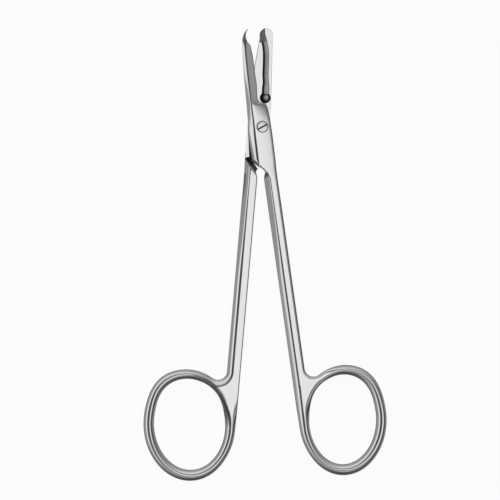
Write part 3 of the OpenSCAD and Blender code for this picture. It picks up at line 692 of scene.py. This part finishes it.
def painted_dark_lines(place, middle, hooked):
    """Painted shade in dark lines on the outer face: along the crease over the joint and the blade, and along
    the cutting side. Each is a bell across the line, faded out at both ends."""
    x, y, z = place.T
    crease_w = 0.14 + 0.07 * smooth((y - 2) / 8)
    crease = 0.9 * bell((x - crease_x(y, hooked)) / crease_w)
    crease = crease * smooth((y + 11.2) / 2) * smooth((27.5 - y) / 3)
    slope = (edge_x(y + 0.05, hooked) - edge_x(y - 0.05, hooked)) / 0.1
    gap = (edge_x(y, hooked) - x) / np.sqrt(1 + slope**2)
    edge = 0.8 * bell((gap - 0.05) / 0.16) * smooth((y + 9) / 6) * smooth((24 - y) / 2)
    return np.maximum(crease, edge) * (z > 0.3)


def painted_relief_shade(place, middle):
    """Painted shade, nearly 1, on the floor of the relief beside the shoulder and along the joint."""
    y = middle[:, 1]
    height = np.stack([middle[:, 2], place[:, 2]])
    flat = np.abs(height - LAP_TOP - RELIEF_DEPTH).max(axis=0) < 0.002
    return 0.97 * flat * (y < 1) * (y > -18)


def painted_web_band(place, middle):
    """Painted shade in a darker band on the inner side of the web, along the finger hole of the plain half.
    """
    x, y = (place[:, :2] - PLAIN_RING[0]).T
    angle = np.degrees(np.arctan2(y, x))
    gap = np.hypot(x, y) - hole_reach(PLAIN_RING, angle)
    band = 0.75 * smooth((1.75 - gap) / 0.6) * smooth((angle - 80) / 30) * smooth((188 - angle) / 25)
    return band * (place[:, 2] < -0.8)


def painted_hollow_shade(place, middle):
    """Painted shade in the hollow: darkest along the right wall, with a dark line along the left wall, a dark
    rim round the pocket and an even painted shade where the hollow opens near the tip."""
    x, y = place[:, :2].T
    left, right = hollow_sides(y)
    trough = 0.42 + 0.55 * bell(np.clip(right - 0.42 - x, 0, None) / 0.3) + 0.45 * bell((x - left) / 0.2)
    from_middle = np.hypot(x - POCKET_X + 0.25, (y - POCKET_Y - 0.2) * 0.8)
    pocket = 0.42 + 0.55 * smooth((from_middle - 0.1) / 0.9)
    opening = 0.68 + 0.3 * bell((x - left) / 0.2)
    value = np.where(y < 9.6, pocket, mix(trough, opening, smooth((y - 24) / 0.8)))
    below = (middle[:, 2] > LAP_TOP + 0.004) & (middle[:, 2] < HOLLOW_DEPTH + 0.1)
    return value * below * (middle[:, 1] > 6.5) * (middle[:, 0] > left - 0.2)


def painted_slot_shade(place, middle):
    """Painted shade, darker towards the floor of the screw's slot."""
    across = turned(middle[:, 0], middle[:, 1], -SLOT_ANGLE)[1]
    return (2 * MID_Z - 0.1 - place[:, 2]) / (SLOT_DEPTH - 0.1) * (np.abs(across) < SLOT_W / 2 + 0.01)


# Where the two halves lie, and the pieces themselves
TURN_OVER = Matrix.Rotation(math.pi, 4, "Y")
LIFT = Matrix.Translation((-SCREW_SHIFT * MM, 0, MID_Z * MM))

hook = piece("hooked_blade_half", *forging(HOOK_RING, True))
cut(hook, lap_tool(), relief_tool(), notch_tool())
hook_place = Matrix.Rotation(math.radians(HOOK_TURN), 4, "Z") @ LIFT
placed(hook, hook_place)
top_z = 2 * MID_Z
seat = lathe("seat_tool", [
    (SHAFT_R + SHAFT_PLAY, -5), (SHAFT_R + SHAFT_PLAY, top_z - HEAD_RIM - HEAD_CONE),
    (HEAD_R + SHAFT_PLAY, top_z - HEAD_RIM), (HEAD_R + SHAFT_PLAY, top_z - 0.16), (HEAD_R + 0.17, top_z),
    (HEAD_R + 0.17, top_z + 3),
])
cut(hook, seat)
finished(hook)

plain = piece("plain_blade_half", *forging(PLAIN_RING, False))
cut(plain, lap_tool(), relief_tool(), wedge_tool(), hollow_tool())
plain_place = Matrix.Rotation(math.radians(-PLAIN_TURN), 4, "Z") @ LIFT @ TURN_OVER
placed(plain, plain_place)
cut(plain, lathe("bore_tool", [(SHAFT_R, -5), (SHAFT_R, 8)]))
finished(plain)

screw = lathe("slotted_joint_screw", [
    (SHAFT_R - 0.1, 0.02), (SHAFT_R, 0.12), (SHAFT_R, top_z - HEAD_RIM - HEAD_CONE),
    (HEAD_R, top_z - HEAD_RIM), (HEAD_R, top_z - 0.2), (HEAD_R - 0.03, top_z - 0.1),
    (HEAD_R - 0.11, top_z - 0.04), (HEAD_R - 0.3, top_z - 0.015), (HEAD_R - 0.9, top_z),
])
half_slot = SLOT_W / 2
slot_outline = [(-4, -half_slot), (4, -half_slot), (4, half_slot), (-4, half_slot)]
slot_tool = prism("slot_tool", slot_outline, top_z - SLOT_DEPTH, top_z + 3)
placed(slot_tool, Matrix.Rotation(math.radians(SLOT_ANGLE), 4, "Z"))
cut(screw, slot_tool)
finished(screw)
# Painted shade, kept in a face-corner attribute: towards the slot's floor, in lines along crease and cutting
# side, on the relief's floor, in the plain blade's hollow and in a band on its web
mark(screw, Matrix.Identity(4), painted_slot_shade)
mark(hook, hook_place, lambda *at: np.maximum(painted_dark_lines(*at, True), painted_relief_shade(*at)))
mark(plain, plain_place, lambda *at: painted_dark_lines(*at, False) + painted_relief_shade(*at) + painted_hollow_shade(*at) + painted_web_band(*at))

# Materials


class Value:
    """A socket whose Python operators add Math nodes."""

    def __init__(self, tree, socket):
        """Keeps the socket and the tree that it belongs to."""
        self.tree, self.socket = tree, socket

    def math(self, operation, *others, clamp=False):
        """Result of a Math node on this value and the others, which are values or numbers."""
        node = self.tree.nodes.new("ShaderNodeMath")
        node.operation, node.use_clamp = operation, clamp
        for i, v in enumerate((self, *others)):
            if isinstance(v, Value):
                self.tree.links.new(v.socket, node.inputs[i])
            else:
                node.inputs[i].default_value = v
        return Value(self.tree, node.outputs[0])

    def fixed(self, number):
        """The number as a value of the same tree."""
        node = self.tree.nodes.new("ShaderNodeValue")
        node.outputs[0].default_value = number
        return Value(self.tree, node.outputs[0])

    def __add__(self, o):
        """This plus the other."""
        return self.math("ADD", o)

    def __sub__(self, o):
        """This less the other."""
        return self.math("SUBTRACT", o)

    def __mul__(self, o):
        """This times the other."""
        return self.math("MULTIPLY", o)

    def __truediv__(self, o):
        """This over the other."""
        return self.math("DIVIDE", o)

    __radd__, __rmul__ = __add__, __mul__

    def __rsub__(self, o):
        """A number less this."""
        return self.fixed(o).math("SUBTRACT", self)

    def between(self, low, high):
        """0 below low, 1 above high, eased in between, or the other way round where low is the larger."""
        t = ((self - low) / (high - low)).math("MULTIPLY", 1.0, clamp=True)
        return t * t * (3 - 2 * t)


def add(tree, kind, settings=(), **inputs):
    """Adds a node: its settings first, then the values or links of its sockets, spaces written as _."""
    node = tree.nodes.new(kind)
    for key, value in dict(settings).items():
        setattr(node, key, value)
    for key, value in inputs.items():
        socket = node.inputs[key.replace("_", " ")]
        if isinstance(value, Value):
            tree.links.new(value.socket, socket)
        elif isinstance(value, bpy.types.NodeSocket):
            tree.links.new(value, socket)
        else:
            socket.default_value = value
    return node


def grain(tree, place, stretch, detail=2.0):
    """Noise from 0 to 1 on Object coordinates, with so many repeats per metre along x, y and z."""
    scaled = add(tree, "ShaderNodeVectorMath", {"operation": "MULTIPLY"})
    tree.links.new(place, scaled.inputs[0])
    scaled.inputs[1].default_value = stretch
    noise = add(tree, "ShaderNodeTexNoise", Vector=scaled.outputs[0], Scale=1.0, Detail=detail,
                Roughness=0.55)
    return Value(tree, noise.outputs[0])


def steel(name, colour, rough, brushed):
    """Polished steel: fine grain along the length, a slow mottle in the polish, and shallow hairlines. Where
    the face-corner attribute of painted shade is 1, the colour is painted near black and the surface made
    duller."""
    mat = bpy.data.materials.new(name)
    mat.use_nodes = True
    tree = mat.node_tree
    tree.nodes.clear()
    place = add(tree, "ShaderNodeTexCoord").outputs["Object"]
    lines = grain(tree, place, (5200, 260, 5200), 3)
    mottle = grain(tree, place, (420, 180, 420), 3)
    speck = grain(tree, place, (2600, 2400, 2600), 2)
    tone = 0.5 + 0.5 * mottle + 0.18 * (lines - 0.5)
    dull = add(tree, "ShaderNodeMix", {"data_type": "RGBA"})
    tree.links.new(tone.math("MULTIPLY", 1.0, clamp=True).socket, dull.inputs["Factor"])
    dull.inputs["A"].default_value = (*[c * 0.9 for c in colour], 1)
    dull.inputs["B"].default_value = (*colour, 1)
    roughness = rough + 0.06 * (mottle - 0.5) + 0.05 * (speck - 0.5)
    painted_shade = Value(tree, add(tree, "ShaderNodeAttribute", {"attribute_name": "painted_shade"}).outputs["Fac"])
    # Painted shade: the colour is mixed towards near black by the attribute
    deep = add(tree, "ShaderNodeMix", {"data_type": "RGBA"})
    shade = (painted_shade * (0.8 + 0.4 * mottle)).math("MULTIPLY", 1.0, clamp=True)
    tree.links.new(shade.socket, deep.inputs["Factor"])
    tree.links.new(dull.outputs["Result"], deep.inputs["A"])
    deep.inputs["B"].default_value = (0.02, 0.02, 0.02, 1)
    roughness = roughness + 0.25 * painted_shade
    height = brushed * lines + 0.4 * speck
    bump = add(tree, "ShaderNodeBump", Strength=0.06, Distance=0.00001, Height=height)
    shader = add(tree, "ShaderNodeBsdfPrincipled", Base_Color=deep.outputs["Result"], Metallic=1.0,
                 Roughness=roughness, Normal=bump.outputs[0])
    add(tree, "ShaderNodeOutputMaterial", Surface=shader.outputs[0])
    return mat


blade_steel = steel("polished_blade_steel", (0.83, 0.83, 0.835), 0.12, 1.0)
screw_steel = steel("turned_screw_steel", (0.76, 0.76, 0.77), 0.16, 0.6)
for obj, mat, body, node, slot in (
    (hook, blade_steel, "hook_side", "hook_half", "blade_steel"),
    (plain, blade_steel, "plain_side", "plain_half", "blade_steel"),
    (screw, screw_steel, "plain_side", "joint_screw", "screw_steel"),
):
    obj.data.materials.clear()
    obj.data.materials.append(mat)
    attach(obj, body)
    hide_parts(node)
    obj.visible_glossy = False

# Ground, light and camera

reach = 3000
ground = piece("ground", [(-reach, -reach, 0), (reach, -reach, 0), (reach, reach, 0), (-reach, reach, 0)],
               [(0, 1, 2, 3)])
white = bpy.data.materials.new("white_ground")
white.use_nodes = True
tree = white.node_tree
tree.nodes.clear()
rays = add(tree, "ShaderNodeLightPath")
through = Value(tree, rays.outputs["Is Transmission Ray"])
in_metal = Value(tree, rays.outputs["Is Glossy Ray"]).math("MAXIMUM", through)
seen = Value(tree, rays.outputs["Is Camera Ray"]).math("MAXIMUM", 0.1 * in_metal)
lit = add(tree, "ShaderNodeBsdfDiffuse", Color=(0.9, 0.9, 0.9, 1))
glow = add(tree, "ShaderNodeEmission", Color=(1, 1, 1, 1), Strength=1.0)
both = add(tree, "ShaderNodeMixShader")
tree.links.new((seen * 0.93).socket, both.inputs[0])
tree.links.new(lit.outputs[0], both.inputs[1])
tree.links.new(glow.outputs[0], both.inputs[2])
add(tree, "ShaderNodeOutputMaterial", Surface=both.outputs[0])
ground.data.materials.append(white)
# The metal mirrors the world's tones alone, also those below the horizon
ground.visible_glossy = False

world = bpy.data.worlds.new("studio")
bpy.context.scene.world = world
world.use_nodes = True
tree = world.node_tree
tree.nodes.clear()
direction = add(tree, "ShaderNodeTexCoord").outputs["Generated"]
split = add(tree, "ShaderNodeSeparateXYZ", Vector=direction)
dx, dy, dz = (Value(tree, split.outputs[i]) for i in range(3))


def polar_from(lean):
    """Angle in degrees between the direction and a line that leans from the zenith towards +X."""
    c, sn = math.cos(math.radians(lean)), math.sin(math.radians(lean))
    return (dx * sn + dz * c).math("MAXIMUM", -1.0).math("MINIMUM", 1.0).math("ARCCOSINE") * (180 / math.pi)


def ladder(first, *steps):
    """Tone along the polar angle: each step is (angle where it starts, angle where it ends, new tone)."""
    tone = 0 * polar + first
    for start, end, new in steps:
        tone = tone + (new - tone) * polar.between(start, end)
    return tone


# One ladder of tones for each quarter, blended by the squares of the direction's level parts
polar = polar_from(0)
level = dx * dx + dy * dy + 0.00001
to_west = dx.math("MINIMUM", 0.0)
to_east = dx.math("MAXIMUM", 0.0)
to_south = dy.math("MINIMUM", 0.0)
to_north = dy.math("MAXIMUM", 0.0)
west = ladder(0.07, (54, 64, 0.92), (77, 84, 0.33), (114, 122, 0.08), (130, 140, 0.28))
east = ladder(0.10, (20, 26, 0.36), (46, 54, 0.05), (98, 108, 0.26))
north = ladder(0.22, (40, 54, 0.75), (84, 96, 0.4), (120, 140, 0.12))
south = ladder(0.10, (26, 34, 0.45), (56, 68, 0.08), (126, 140, 0.25))
sky = (west * to_west * to_west + east * to_east * to_east + north * to_north * to_north
       + south * to_south * to_south) / level
# A bright patch near the zenith, which the flat faces mirror
sky = sky + (0.97 - sky) * polar_from(-3).between(20, 7)
seen = Value(tree, add(tree, "ShaderNodeLightPath").outputs["Is Camera Ray"])
sky = sky + (1.0 - sky) * seen
back = add(tree, "ShaderNodeBackground", Strength=1.0)
tree.links.new(sky.socket, back.inputs["Color"])
add(tree, "ShaderNodeOutputWorld", Surface=back.outputs[0])

lamp = bpy.data.lights.new("softbox", "AREA")
lamp.shape, lamp.size, lamp.energy = "DISK", 0.5, 2.2
softbox = bpy.data.objects.new("softbox", lamp)
softbox.location = (0.05, 0.1, 0.8)
softbox.rotation_euler = (-0.12, 0.06, 0)
softbox.visible_glossy = False
bpy.context.scene.collection.objects.link(softbox)

view = bpy.data.cameras.new("view_from_above")
view.lens, view.sensor_width = 150, 36
view.clip_start, view.clip_end = 0.05, 20
camera = bpy.data.objects.new("view_from_above", view)
# At this distance from the level 2.5 mm above the floor, the picture is 142.25 mm wide there
distance, level_z = 0.5927, 0.0025
camera.location = (-0.003585, -0.03499, distance + level_z)
bpy.context.scene.collection.objects.link(camera)
bpy.context.scene.camera = camera
bpy.context.scene.view_settings.view_transform = "Standard"
